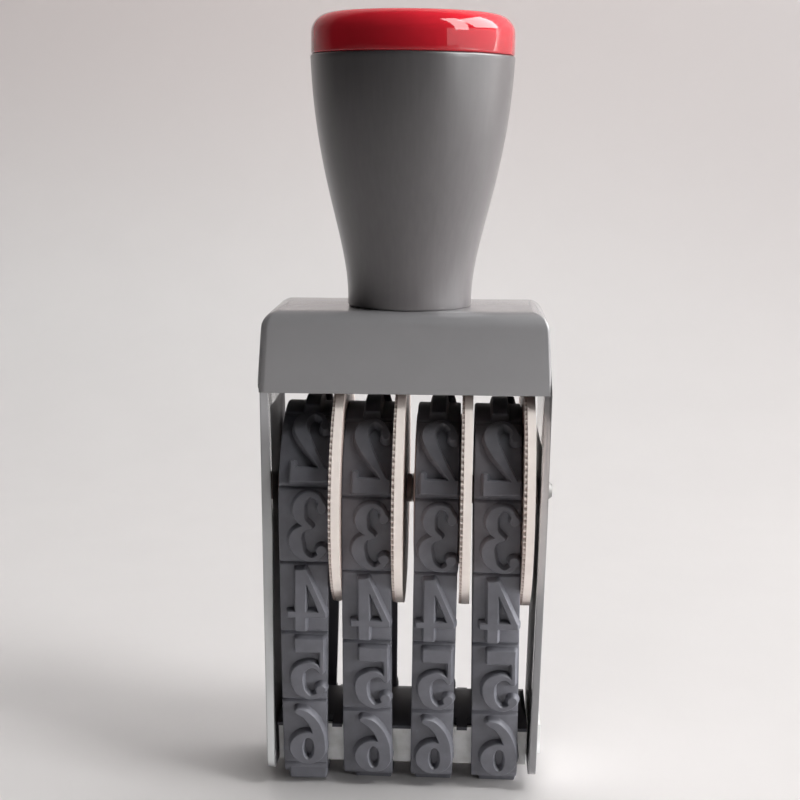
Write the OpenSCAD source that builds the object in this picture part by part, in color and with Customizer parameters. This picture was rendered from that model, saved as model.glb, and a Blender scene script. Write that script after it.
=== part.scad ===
// Rotary number stamp: four numbered rubber bands run from toothed setting wheels round a platen.
// Millimetres. The printing face is z = 0, the front is -Y and the axle lies along X.

/* [Node] */
// piece to draw

/* [Print] */
// height of one raised figure
digit_height = 10; // [8:0.1:10.6]
// width of a normal figure
digit_width = 5.6; // [4:0.1:6]
// width of a heavy stroke
digit_stroke = 1.5; // [1:0.05:1.9]
// width of a light stroke
digit_thin = 1.15; // [0.8:0.05:1.5]
// how far the figures stand off the band
digit_relief = 1.1; // [0.6:0.05:1.6]
// bare strip between the figures and the edge of the band
digit_margin = 0.1; // [0.05:0.05:0.6]

/* [Bands] */
// thickness of the band behind the figures
band_base = 1.6; // [1:0.05:2.2]
// width of each band, left to right
band_widths = [7.0, 7.1, 6.5, 7.0];
// space between a band and the parts inside it
band_gap = 0.2; // [0.1:0.05:0.4]
// space between a band and the flange beside it
band_side_gap = 0.2; // [0.15:0.05:0.4]
// width of the score between two blocks
score_width = 0.4; // [0.2:0.05:0.8]
// depth of the score between two blocks
score_depth = 0.3; // [0.1:0.05:0.6]

/* [Wheels] */
// radius of the drum that carries the band
drum_radius = 11.5; // [10:0.1:13]
// wall of the hollow drum
drum_wall = 1.6; // [1:0.1:2.5]
// length of the drum
drum_width = 6.9; // [6.5:0.1:8]
// radius over the teeth of the setting flange
flange_radius = 17.65; // [15:0.05:20]
// thickness of the setting flange
flange_thick = 1.6; // [1.2:0.1:2.4]
// number of finger teeth
tooth_count = 120; // [60:2:140]
// depth of the finger teeth
tooth_depth = 0.4; // [0.2:0.05:0.8]
// width of the toothed strip along the flange's rim
tooth_width = 0.4; // [0.2:0.05:1]
// how far the teeth stay under the smooth part of the rim
tooth_step = 0.05; // [0.02:0.01:0.2]
// radius of the hub
hub_radius = 2.2; // [2.1:0.1:3.5]
// how far the hub stands out past the drum
hub_step = 0.5; // [0.3:0.1:1]
// ribs inside the drum
rib_count = 6; // [3:1:8]
// thickness of a rib
rib_thick = 1.2; // [0.8:0.1:2]
// how far the pocket floor lies from the flange face
web_thick = 1.8; // [1.2:0.1:3]

/* [Axle] */
// height of the axle over the printing face
axle_height = 45.4; // [42:0.1:55]
// radius of the axle
axle_radius = 1.5; // [1.2:0.05:1.8]
// radius of the riveted ends in the legs
neck_radius = 1.1; // [0.8:0.05:1.15]
// radius of the rivet heads
rivet_radius = 1.4; // [1.3:0.05:2]
// height of the rivet heads
rivet_height = 1.1; // [0.4:0.05:2]
// running clearance of the wheels on the axle
axle_clear = 0.05; // [0.02:0.01:0.1]
// play between pieces along the axle
end_play = 0.1; // [0.05:0.05:0.3]
// thickness of the left spacer
spacer_left_thick = 1.75; // [0.5:0.05:3]
// thickness of the middle spacer
spacer_mid_thick = 0.75; // [0.4:0.05:2]
// thickness of the right spacer
spacer_right_thick = 0.9; // [0.4:0.05:2]
// outside radius of the spacers
spacer_radius = 2.2; // [2.1:0.1:4]

/* [Platen] */
// half the depth of the flat that backs the printing blocks
platen_foot = 5.3; // [4.6:0.05:7]
// rounding of the lower edges of the bar
platen_edge = 0.6; // [0.3:0.05:1.5]
// lean of the bar's cheeks
cheek_lean = 12; // [6:0.5:16]
// length of band that lies along the lean of a cheek
cheek_run = 10; // [8:0.1:12]
// height of the bar
platen_height = 6.6; // [5:0.1:8]
// space between the bar's shoulders and the legs
platen_end_gap = 0.3; // [0.1:0.05:0.6]
// height of the tenons in the legs
tenon_height = 4.6; // [3:0.1:4.8]
// depth of the tenons
tenon_depth = 6; // [3:0.1:9]
// how far the tenons stand out of the legs
tenon_proud = 0.9; // [0.2:0.05:1.4]
// height of the guide comb
comb_height = 2.1; // [1.6:0.1:6]
// half the depth of the comb's ridge
ridge_half_depth = 3.2; // [2:0.1:5]
// half the depth of the comb inside the bands
comb_half_depth = 6.4; // [4:0.1:6.8]
// height of the comb's fingers at their tips
finger_tip = 0.5; // [0.3:0.05:1.5]
// half the depth over the comb's fingers
finger_half_depth = 8.6; // [7:0.1:10]
// rounding of the comb's upper ends
comb_round = 1.4; // [0.5:0.1:1.5]
// space between a finger and the band beside it
finger_gap = 0.25; // [0.15:0.05:0.4]
// radius of the comb's pegs
peg_radius = 1.2; // [0.8:0.1:1.8]
// length of the comb's pegs
peg_length = 3; // [2:0.1:4]
// distance of each peg from the middle
peg_offset = 14; // [6:0.5:16]

/* [Frame] */
// thickness of the pressed sheet
sheet = 1.1; // [0.8:0.05:2]
// depth of the hood, front to back
hood_depth = 22; // [20:0.5:30]
// height of the hood's skirt
hood_height = 12; // [10:0.1:16]
// room between the flanges and the roof of the hood
roof_gap = 10.1; // [8:0.1:14]
// outside rounding of the hood
hood_round = 2.5; // [2.2:0.1:4]
// depth of the legs, front to back
leg_depth = 20; // [16:0.5:24]
// rounding of the legs' lower corners
leg_round = 2.5; // [1:0.1:5]
// height of the legs' lower ends over the printing face
leg_lift = 2.5; // [1.5:0.1:2.9]
// how far under the axle the legs begin to lean in
knee_drop = 4.5; // [3:0.1:10]
// how far each leg leans in at its lower end
toe_in = 0.7; // [0:0.05:1.2]
// height of the slope that joins each leg to the hood
leg_blend = 4; // [2:0.1:6]

/* [Handle] */
// height of the handle without its cap
handle_height = 36.35; // [28:0.05:50]
// radius of the waist
waist_radius = 9.3; // [8.5:0.1:12]
// radius of the upper rim
rim_radius = 15.1; // [13:0.1:18]
// height to which the waist pulls the side of the handle
waist_pull = 9.8; // [4:0.1:14]
// height under the rim to which the shoulder pulls the side
shoulder_pull = 18.4; // [8:0.1:22]
// radius at which the shoulder pulls the side
shoulder_radius = 14.3; // [12:0.1:17]
// radius of the well for the screw
well_radius = 5.2; // [5:0.1:5.6]
// thickness of the floor under the screw
floor_thick = 5; // [3:0.1:8]
// rounding of the lower rim
foot_round = 0.5; // [0.2:0.1:1]
// radius of the two locating pins
pin_radius = 1; // [0.8:0.1:1.5]
// distance of each pin from the screw
pin_offset = 6.2; // [5.6:0.1:7.5]
// length of the pins
pin_length = 2; // [1.5:0.1:3]
// how far the cap stays inside the handle's rim
cap_inset = 0.1; // [0:0.05:1]
// height of the cap
cap_height = 6.45; // [4:0.05:9]
// rounding of the cap's upper edge
cap_round = 2.8; // [1:0.1:3.5]
// radius of the cap's dome
cap_dome = 130; // [60:5:300]
// radius of the cap's plug
plug_radius = 10.6; // [8:0.1:12]
// length of the cap's plug
plug_length = 3.6; // [2:0.1:6]
// room left under the plug
plug_room = 0.6; // [0.2:0.1:2]

/* [Fasteners] */
// thread radius of the handle screw
screw_radius = 2; // [1.5:0.1:2.2]
// head radius of the handle screw
head_radius = 3.8; // [3.4:0.1:4.2]
// head height of the handle screw
head_height = 2.6; // [1.8:0.1:3.5]
// width of the driver slot
slot_width = 1; // [0.6:0.1:1.4]
// depth of the driver slot
slot_depth = 1.1; // [0.6:0.1:1.5]
// outside radius of the plain washer
washer_radius = 4.4; // [4:0.1:4.6]
// thickness of the plain washer
washer_thick = 0.8; // [0.5:0.1:1.2]
// outside radius of the split washer
split_radius = 3.5; // [3:0.1:4]
// thickness of the split washer
split_thick = 0.9; // [0.6:0.1:1.2]
// width of the gap in the split washer
split_gap = 0.6; // [0.3:0.1:1]
// width of the nut across its flats
nut_flats = 7; // [6:0.1:8]
// height of the nut
nut_height = 3.2; // [2:0.1:4]
// thread that shows under the nut
thread_tail = 0.9; // [0.3:0.1:2]

/* [Fits] */
// clearance where two pieces of the stamp seat on each other
seat = 0.02; // [0.01:0.01:0.05]
// clearance of pins, pegs and tenons in their holes
pin_clear = 0.05; // [0.02:0.01:0.1]
// clearance of the screw in its holes
screw_clear = 0.25; // [0.1:0.05:0.4]
// clearance of the nut and washers on the thread
thread_clear = 0.05; // [0.03:0.01:0.15]

/* [Hidden] */
$fn = 96;
tiny = 0.01;
block_count = 12;
// figures round the band, from the printing face up the front and down the back; -1 is bare
figures = [7, 6, 5, 4, 3, 2, 1, -1, -1, 0, 9, 8];

// pieces along the axle
wheel_length = hub_step + drum_width + flange_thick;
stack_length = spacer_left_thick + spacer_mid_thick + spacer_right_thick + 4 * wheel_length + 8 * end_play;
inner_half = stack_length / 2;
outer_half = inner_half + sheet;
spacer_left_x = -inner_half + end_play;
wheel_1_x = spacer_left_x + spacer_left_thick + end_play;
wheel_2_x = wheel_1_x + wheel_length + end_play;
spacer_mid_x = wheel_2_x + wheel_length + end_play;
wheel_3_x = spacer_mid_x + spacer_mid_thick + end_play;
wheel_4_x = wheel_3_x + wheel_length + end_play;
spacer_right_x = wheel_4_x + wheel_length + end_play;
wheel_x = [wheel_1_x, wheel_2_x, wheel_3_x, wheel_4_x];
band_right = [for (x = wheel_x) x + wheel_length - flange_thick - band_side_gap];
band_left = [for (i = [0 : 3]) band_right[i] - band_widths[i]];

// loop of a band: inner face round the drum, down to a fold, along a cheek and round an edge of the platen bar
platen_bottom = digit_relief + band_base + band_gap;
platen_top = platen_bottom + platen_height;
loop_top_radius = drum_radius + band_gap;
loop_edge_radius = platen_edge + band_gap;
loop_edge_y = platen_foot;
loop_edge_z = platen_bottom + platen_edge;
edge_arc = loop_edge_radius * (90 - cheek_lean) * PI / 180;
fold_y = loop_edge_y + loop_edge_radius * cos(cheek_lean) + cheek_run * sin(cheek_lean);
fold_z = loop_edge_z - loop_edge_radius * sin(cheek_lean) + cheek_run * cos(cheek_lean);
fold_rise = axle_height - fold_z;
fold_span = sqrt(fold_rise * fold_rise + fold_y * fold_y);
run_tilt = atan(fold_y / fold_rise) - asin(loop_top_radius / fold_span);
run_length = sqrt(fold_span * fold_span - loop_top_radius * loop_top_radius);
top_arc = loop_top_radius * (90 - run_tilt) * PI / 180;
edge_end = loop_edge_y + edge_arc;
fold_s = edge_end + cheek_run;
run_end = fold_s + run_length;
half_loop = run_end + top_arc;
block_pitch = 2 * half_loop / block_count;

// frame
roof_z = axle_height + flange_radius + roof_gap;
hood_top = roof_z + sheet;
hood_bottom = hood_top - hood_height;
knee_z = axle_height - knee_drop;
lean = toe_in / (knee_z - leg_lift);
tenon_z = platen_bottom + platen_height / 2;
platen_half = inner_half - lean * (knee_z - platen_bottom) - platen_end_gap;
tenon_end = outer_half - lean * (knee_z - tenon_z) + tenon_proud;

// handle and its screw
handle_base = hood_top + seat;
handle_top = handle_base + handle_height;
floor_top = handle_base + floor_thick;
washer_z = floor_top + seat;
head_z = washer_z + washer_thick + seat;
split_z = roof_z - seat - split_thick;
nut_z = split_z - seat - nut_height;
screw_end = nut_z - thread_tail;
plug_hole_depth = plug_length + plug_room;
cap_radius = rim_radius - cap_inset;

// point on half of the loop at a distance along its inner face: [outward y, z, angle of the outward normal]
function loop_half_point(s, off) =
    s < loop_edge_y ? [s, loop_edge_z - loop_edge_radius - off, -90] :
    s < edge_end ? edge_point((s - loop_edge_y) / loop_edge_radius * 180 / PI - 90, off) :
    s < fold_s ? run_point(s - fold_s, -cheek_lean, off) :
    s < run_end ? run_point(s - fold_s, run_tilt, off) :
    top_point(run_tilt + (s - run_end) / loop_top_radius * 180 / PI, off);

function edge_point(a, off) = [
    loop_edge_y + (loop_edge_radius + off) * cos(a), loop_edge_z + (loop_edge_radius + off) * sin(a), a
];

// straight stretch through the fold
function run_point(s, a, off) = [fold_y + off * cos(a) - s * sin(a), fold_z + off * sin(a) + s * cos(a), a];

// corner of the offset loop at the fold
function fold_corner(off) =
    let (mid = (run_tilt - cheek_lean) / 2, reach = off / cos((run_tilt + cheek_lean) / 2))
    [fold_y + reach * cos(mid), fold_z + reach * sin(mid)];

function top_point(a, off) = [
    (loop_top_radius + off) * cos(a), axle_height + (loop_top_radius + off) * sin(a), a
];

// cubic curve of the handle's side: [radius, height over the hood]
function side_point(t) =
    pow(1 - t, 3) * [waist_radius, foot_round] +
    3 * t * pow(1 - t, 2) * [waist_radius, waist_pull] +
    3 * t * t * (1 - t) * [shoulder_radius, handle_height - shoulder_pull] +
    pow(t, 3) * [rim_radius, handle_height];

// turns a flat outline in y, z so that it runs along x
module along_x(length) {
    rotate([90, 0, 90]) linear_extrude(length) children();
}

// turns a flat outline in x, z so that it runs along y, centred
module along_y(length) {
    translate([0, length / 2, 0]) rotate([90, 0, 0]) linear_extrude(length) children();
}

// puts its children on the face of the loop, with y along the loop and z outward
module on_loop(s, off) {
    front = s <= half_loop;
    p = loop_half_point(front ? s : 2 * half_loop - s, off);
    translate([0, front ? -p[0] : p[0], p[1]])
        rotate([front ? 90 - p[2] : p[2] - 90, 0, 0]) children();
}

// area inside the loop, grown by an offset
module loop_area(off) {
    low = loop_edge_z - loop_edge_radius - off;
    a = edge_point(-cheek_lean, off);
    b = top_point(run_tilt, off);
    c = fold_corner(off);
    translate([0, axle_height]) circle(loop_top_radius + off);
    for (side = [-1, 1]) translate([side * loop_edge_y, loop_edge_z]) circle(loop_edge_radius + off);
    polygon([
        [-loop_edge_y, low], [loop_edge_y, low], [a[0], a[1]], c, [b[0], b[1]], [0, axle_height],
        [-b[0], b[1]], [-c[0], c[1]], [-a[0], a[1]]
    ]);
}

// part of a ring between two angles
module ring_part(outer, inner, from, to) {
    steps = 8;
    intersection() {
        difference() {
            circle(outer);
            circle(inner);
        }
        polygon(concat(
            [[0, 0]],
            [for (i = [0 : steps]) 2 * outer * [cos(from + (to - from) * i / steps), sin(from + (to - from) * i / steps)]]
        ));
    }
}

module bar(x0, y0, x1, y1) {
    translate([x0, y0]) square([x1 - x0, y1 - y0]);
}

module figure_0() {
    r = digit_width / 2;
    n = r - digit_stroke;
    difference() {
        union() {
            translate([r, r]) circle(r);
            translate([r, digit_height - r]) circle(r);
            bar(0, r, digit_width, digit_height - r);
        }
        translate([r, n + digit_thin]) circle(n);
        translate([r, digit_height - n - digit_thin]) circle(n);
        bar(r - n, n + digit_thin, r + n, digit_height - n - digit_thin);
    }
}

module figure_1() {
    flag = digit_height * 0.28;
    tip = digit_width * 0.16;
    stem = digit_width * 0.4;
    bar(stem, 0, stem + digit_stroke, digit_height);
    polygon([
        [stem + tiny, digit_height], [tip, digit_height - flag * 0.5], [tip, digit_height - flag],
        [stem + tiny, digit_height - flag * 0.62]
    ]);
}

module figure_2() {
    r = digit_width / 2;
    c = digit_height - r;
    low = [digit_width - digit_stroke * 0.55, c - r * 0.45];
    translate([r, c]) ring_part(r, r - digit_thin * 1.15, -35, 165);
    polygon([
        [digit_width - tiny * 5, c - r * 0.12], low, [digit_stroke * 1.25, digit_thin], [0, digit_thin],
        [digit_width - digit_stroke * 1.05, c + tiny]
    ]);
    bar(0, 0, digit_width, digit_stroke);
    bar(digit_width - digit_thin * 0.8, 0, digit_width, digit_stroke * 1.45);
}

module figure_3() {
    lower = digit_height * 0.29;
    upper = (digit_height - 2 * lower + digit_thin) / 2;
    translate([digit_width - lower, lower]) ring_part(lower, lower - digit_stroke, -165, 97);
    translate([digit_width - lower, digit_height - upper]) ring_part(upper, upper - digit_thin, -97, 165);
}

module figure_4() {
    wide = digit_width + 0.4;
    stem = wide - digit_stroke * 1.75;
    bar_low = digit_height * 0.2;
    bar_top = bar_low + digit_thin;
    bar(stem, 0, stem + digit_stroke, digit_height);
    bar(0, bar_low, wide, bar_top);
    polygon([
        [0, bar_low], [0, bar_top + digit_thin * 0.5], [stem, digit_height], [stem + tiny, digit_height],
        [stem + tiny, digit_height - digit_stroke * 1.8], [digit_thin * 1.2, bar_top], [digit_thin, bar_low]
    ]);
}

module figure_5() {
    r = digit_height * 0.315;
    cx = digit_width - r;
    left = digit_width * 0.1;
    translate([cx, r]) ring_part(r, r - digit_stroke, -150, 140);
    bar(left, r * 1.35, left + digit_thin, digit_height);
    bar(left, digit_height - digit_stroke, digit_width - 0.3, digit_height);
}

module figure_6() {
    wide = digit_width + 0.2;
    r = wide / 2;
    tail = wide * 1.12;
    difference() {
        union() {
            translate([r, r]) circle(r);
            translate([tail, r]) ring_part(tail, tail - digit_stroke, 104, 180);
        }
        translate([r, r]) circle(r - digit_stroke + 0.1);
    }
}

module figure_7() {
    bar(0, digit_height - digit_stroke, digit_width, digit_height);
    polygon([
        [digit_width, digit_height - digit_stroke * 0.9], [digit_width - digit_stroke * 1.1, digit_height - digit_stroke * 0.9],
        [digit_width * 0.2, 0], [digit_width * 0.2 + digit_stroke * 1.1, 0]
    ]);
}

module figure_8() {
    lower = digit_height * 0.285;
    upper = (digit_height - 2 * lower + digit_thin) / 2;
    difference() {
        union() {
            translate([lower, lower]) circle(lower);
            translate([lower, digit_height - upper]) circle(upper);
        }
        translate([lower, lower]) circle(lower - digit_stroke * 0.95);
        translate([lower, digit_height - upper]) circle(upper - digit_thin);
    }
}

module figure_9() {
    translate([digit_width + 0.2, digit_height]) rotate(180) figure_6();
}

module figure(n) {
    if (n == 0) figure_0();
    if (n == 1) figure_1();
    if (n == 2) figure_2();
    if (n == 3) figure_3();
    if (n == 4) figure_4();
    if (n == 5) figure_5();
    if (n == 6) figure_6();
    if (n == 7) figure_7();
    if (n == 8) figure_8();
    if (n == 9) figure_9();
}

// moulded rubber band with reversed figures, scored between its blocks
module number_band(i) {
    width = band_widths[i];
    skin = 0.15;
    reach = digit_height * digit_height / 8 / (loop_top_radius + band_base) + 0.4;
    difference() {
        translate([band_left[i], 0, 0]) along_x(width) difference() {
            loop_area(band_base);
            loop_area(0);
        }
        for (k = [0 : block_count - 1])
            on_loop((k + 0.5) * block_pitch, band_base)
                translate([band_left[i] - 1, -score_width / 2, -score_depth]) cube([width + 2, score_width, 2]);
    }
    intersection() {
        translate([band_left[i], 0, 0]) along_x(width) difference() {
            loop_area(band_base + digit_relief);
            loop_area(band_base - skin);
        }
        for (k = [0 : block_count - 1])
            if (figures[k] >= 0)
                on_loop(k * block_pitch, band_base)
                    translate([band_right[i] - digit_margin, -digit_height / 2, -reach])
                        mirror([1, 0, 0]) linear_extrude(reach + digit_relief + 0.5) figure(figures[k]);
    }
}

// toothed outline of the setting flange
module flange_outline() {
    polygon([
        for (i = [0 : 2 * tooth_count - 1])
            (flange_radius - tooth_step - (i % 2) * tooth_depth)
                * [cos(i * 180 / tooth_count), sin(i * 180 / tooth_count)]
    ]);
}

// setting wheel: ribbed drum, hub and toothed flange in one moulding
module number_wheel(i) {
    flange_x = hub_step + drum_width;
    pocket = flange_x + flange_thick - web_thick - hub_step;
    translate([wheel_x[i], 0, axle_height]) difference() {
        union() {
            translate([flange_x, 0, 0]) along_x(tooth_width) flange_outline();
            translate([flange_x + tooth_width - tiny, 0, 0])
                along_x(flange_thick - tooth_width + tiny) circle(flange_radius);
            translate([hub_step, 0, 0]) along_x(drum_width + tiny) circle(drum_radius);
            along_x(hub_step + tiny) circle(hub_radius);
        }
        difference() {
            translate([hub_step - tiny, 0, 0]) along_x(pocket + tiny) difference() {
                circle(drum_radius - drum_wall);
                circle(hub_radius);
            }
            for (k = [0 : rib_count - 1])
                rotate([k * 360 / rib_count, 0, 0])
                    translate([hub_step + 0.4, -rib_thick / 2, hub_radius - 0.5])
                        cube([pocket, rib_thick, drum_radius - drum_wall - hub_radius + 1]);
        }
        translate([-1, 0, 0]) along_x(wheel_length + 2) circle(axle_radius + axle_clear);
    }
}

// axle, shouldered inside the legs and riveted outside them
module axle() {
    shoulder = inner_half - seat;
    head = outer_half + seat;
    color("Silver") translate([0, 0, axle_height]) {
        translate([-shoulder, 0, 0]) along_x(2 * shoulder) circle(axle_radius);
        translate([-head - tiny, 0, 0]) along_x(2 * head + 2 * tiny) circle(neck_radius);
        for (side = [0, 1])
            mirror([side, 0, 0]) translate([head, 0, 0]) rotate([0, 90, 0]) {
                cylinder(h = rivet_height * 0.5, r = rivet_radius);
                translate([0, 0, rivet_height * 0.5])
                    cylinder(h = rivet_height * 0.5, r1 = rivet_radius, r2 = rivet_radius * 0.7);
            }
    }
}

module spacer(x, thick) {
    translate([x, 0, axle_height]) along_x(thick) difference() {
        circle(spacer_radius);
        circle(axle_radius + axle_clear);
    }
}

// section of the platen bar in y, z: leaning cheeks on a rounded foot
module platen_section() {
    low_y = platen_foot + platen_edge * cos(cheek_lean);
    low_z = platen_bottom + platen_edge - platen_edge * sin(cheek_lean);
    high_y = low_y + (platen_top - low_z) * tan(cheek_lean);
    polygon([
        [-platen_foot, platen_bottom], [platen_foot, platen_bottom], [low_y, low_z], [high_y, platen_top],
        [-high_y, platen_top], [-low_y, low_z]
    ]);
    for (side = [-1, 1]) translate([side * platen_foot, platen_bottom + platen_edge]) circle(platen_edge);
}

// bar round whose lower edges the bands turn, with a tenon at each end
module platen_bar() {
    color("LightGray") difference() {
        union() {
            translate([-platen_half, 0, 0]) along_x(2 * platen_half) platen_section();
            translate([-tenon_end, -tenon_depth / 2, tenon_z - tenon_height / 2])
                cube([2 * tenon_end, tenon_depth, tenon_height]);
        }
        for (side = [-1, 1])
            translate([side * peg_offset, 0, platen_top - peg_length - 0.3])
                cylinder(h = peg_length + 1, r = peg_radius + pin_clear);
    }
}

// outline of the comb in x, z with rounded upper ends
module comb_outline() {
    low = platen_top + seat;
    high = low + comb_height;
    bar(-platen_half, low, platen_half, high - comb_round);
    bar(-platen_half + comb_round, low, platen_half - comb_round, high);
    for (side = [-1, 1]) translate([side * (platen_half - comb_round), high - comb_round]) circle(comb_round);
}

// section of the comb in y, z: a ridge that falls off to the finger tips
module comb_section() {
    low = platen_top + seat;
    polygon([
        [-finger_half_depth, low], [finger_half_depth, low], [finger_half_depth, low + finger_tip],
        [ridge_half_depth, low + comb_height], [-ridge_half_depth, low + comb_height],
        [-finger_half_depth, low + finger_tip]
    ]);
}

// guide comb: body inside the bands, fingers in the gaps between them
module band_comb() {
    from = [-platen_half, for (x = band_right) x + finger_gap];
    to = [for (x = band_left) x - finger_gap, platen_half];
    color("DimGray") {
        intersection() {
            along_y(2 * finger_half_depth + 2) comb_outline();
            translate([-platen_half - 1, 0, 0]) along_x(2 * platen_half + 2) comb_section();
            union() {
                translate([-platen_half - 1, -comb_half_depth, 0])
                    cube([2 * platen_half + 2, 2 * comb_half_depth, axle_height]);
                for (k = [0 : 4])
                    translate([from[k], -finger_half_depth - 1, 0])
                        cube([to[k] - from[k], 2 * finger_half_depth + 2, axle_height]);
            }
        }
        for (side = [-1, 1])
            translate([side * peg_offset, 0, platen_top + seat - peg_length])
                cylinder(h = peg_length + 1, r = peg_radius);
    }
}

// solid block with rounded upright edges and a rounded top
module rounded_block(half_x, half_y, low, high, r) {
    ix = half_x - r;
    iy = half_y - r;
    translate([0, 0, low]) linear_extrude(high - r - low) {
        bar(-half_x, -iy, half_x, iy);
        bar(-ix, -half_y, ix, half_y);
        for (sx = [-1, 1], sy = [-1, 1]) translate([sx * ix, sy * iy]) circle(r);
    }
    translate([-ix, -iy, high - r - 1]) cube([2 * ix, 2 * iy, r + 1]);
    for (s = [-1, 1]) {
        translate([-ix, s * iy, high - r]) along_x(2 * ix) circle(r);
        translate([s * ix, 0, high - r]) along_y(2 * iy) circle(r);
    }
    for (sx = [-1, 1], sy = [-1, 1]) translate([sx * ix, sy * iy, high - r]) sphere(r);
}

// one leg: thickness seen from the front, cut to the leg's outline seen from the side
module leg() {
    join = hood_bottom + leg_blend;
    flat_y = hood_depth / 2 - hood_round;
    half = leg_depth / 2;
    intersection() {
        along_y(hood_depth) polygon([
            [inner_half, join], [outer_half, join], [outer_half, knee_z], [outer_half - toe_in, leg_lift],
            [inner_half - toe_in, leg_lift], [inner_half, knee_z]
        ]);
        along_x(outer_half + 1) {
            polygon([
                [-half, leg_lift + leg_round], [half, leg_lift + leg_round], [half, hood_bottom],
                [flat_y, join], [-flat_y, join], [-half, hood_bottom]
            ]);
            bar(leg_round - half, leg_lift, half - leg_round, leg_lift + leg_round + 1);
            for (side = [-1, 1]) translate([side * (half - leg_round), leg_lift + leg_round]) circle(leg_round);
        }
    }
}

// pressed frame: hood and two legs in one piece
module frame() {
    color("SlateGray") difference() {
        union() {
            difference() {
                rounded_block(outer_half, hood_depth / 2, hood_bottom, hood_top, hood_round);
                rounded_block(inner_half, hood_depth / 2 - sheet, hood_bottom - 1, roof_z, hood_round - sheet);
            }
            leg();
            mirror([1, 0, 0]) leg();
        }
        translate([-outer_half - 1, 0, axle_height]) along_x(2 * outer_half + 2) circle(neck_radius + pin_clear);
        translate([-outer_half - 1, -tenon_depth / 2 - pin_clear, tenon_z - tenon_height / 2 - pin_clear])
            cube([2 * outer_half + 2, tenon_depth + 2 * pin_clear, tenon_height + 2 * pin_clear]);
        translate([0, 0, roof_z - 1]) cylinder(h = sheet + 2, r = screw_radius + screw_clear);
        for (side = [-1, 1])
            translate([side * pin_offset, 0, roof_z - 1]) cylinder(h = sheet + 2, r = pin_radius + pin_clear);
    }
}

// turned palm handle with a well for its screw
module handle() {
    steps = 24;
    color("Gray") difference() {
        union() {
            translate([0, 0, handle_base]) rotate_extrude() polygon(concat(
                [[0, 0], [waist_radius - foot_round, 0]],
                [for (i = [0 : steps]) side_point(i / steps)],
                [[0, handle_height]]
            ));
            for (side = [-1, 1])
                translate([side * pin_offset, 0, handle_base - pin_length]) cylinder(h = pin_length + 1, r = pin_radius);
        }
        translate([0, 0, floor_top]) cylinder(h = handle_height, r = well_radius);
        translate([0, 0, handle_top - plug_hole_depth]) cylinder(h = plug_hole_depth + 1, r = plug_radius + pin_clear);
        translate([0, 0, handle_base - 1]) cylinder(h = floor_thick + 2, r = screw_radius + screw_clear);
    }
}

// domed cap with a plug that closes the handle
module handle_cap() {
    color("Crimson") translate([0, 0, handle_top + seat]) rotate_extrude() {
        intersection() {
            union() {
                square([cap_radius, cap_height - cap_round]);
                square([cap_radius - cap_round, cap_height]);
                translate([cap_radius - cap_round, cap_height - cap_round]) circle(cap_round);
            }
            translate([0, cap_height - cap_dome]) circle(cap_dome, $fn = 200);
            square([cap_radius + 1, cap_height + 1]);
        }
        translate([0, -plug_length]) square([plug_radius, plug_length + 1]);
    }
}

// slotted pan-head screw from the handle's well down through the hood
module handle_screw() {
    edge = head_height * 0.35;
    color("Silver") difference() {
        union() {
            translate([0, 0, screw_end]) cylinder(h = head_z - screw_end + tiny, r = screw_radius);
            translate([0, 0, head_z]) cylinder(h = head_height - edge, r = head_radius);
            translate([0, 0, head_z + head_height - edge]) cylinder(h = edge, r1 = head_radius, r2 = head_radius - edge);
        }
        translate([-head_radius - 1, -slot_width / 2, head_z + head_height - slot_depth])
            cube([2 * head_radius + 2, slot_width, slot_depth + 1]);
    }
}

module handle_washer() {
    color("Silver") translate([0, 0, washer_z]) linear_extrude(washer_thick) difference() {
        circle(washer_radius);
        circle(screw_radius + thread_clear);
    }
}

module lock_washer() {
    color("Silver") translate([0, 0, split_z]) linear_extrude(split_thick) difference() {
        circle(split_radius);
        circle(screw_radius + thread_clear);
        translate([0, -split_gap / 2]) square([split_radius + 1, split_gap]);
    }
}

module hex_nut() {
    color("Silver") translate([0, 0, nut_z]) linear_extrude(nut_height) difference() {
        circle(nut_flats / sqrt(3), $fn = 6);
        circle(screw_radius + thread_clear);
    }
}

module spacer_left() {
    color("Linen") spacer(spacer_left_x, spacer_left_thick);
}

module spacer_mid() {
    color("Linen") spacer(spacer_mid_x, spacer_mid_thick);
}

module spacer_right() {
    color("Linen") spacer(spacer_right_x, spacer_right_thick);
}

module number_wheel_1() {
    color("Linen") number_wheel(0);
}

module number_wheel_2() {
    color("Linen") number_wheel(1);
}

module number_wheel_3() {
    color("Linen") number_wheel(2);
}

module number_wheel_4() {
    color("Linen") number_wheel(3);
}

module number_band_1() {
    color("DarkSlateGray") number_band(0);
}

module number_band_2() {
    color("DarkSlateGray") number_band(1);
}

module number_band_3() {
    color("DarkSlateGray") number_band(2);
}

module number_band_4() {
    color("DarkSlateGray") number_band(3);
}

frame();
handle();
handle_cap();
handle_screw();
handle_washer();
lock_washer();
hex_nut();
axle();
spacer_left();
spacer_mid();
spacer_right();
number_wheel_1();
number_wheel_2();
number_wheel_3();
number_wheel_4();
number_band_1();
number_band_2();
number_band_3();
number_band_4();
platen_bar();
band_comb();
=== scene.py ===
import math
from functools import partial

import bmesh
import bpy
import numpy as np
from mathutils import Matrix, Vector
from mathutils.geometry import tessellate_polygon


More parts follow.
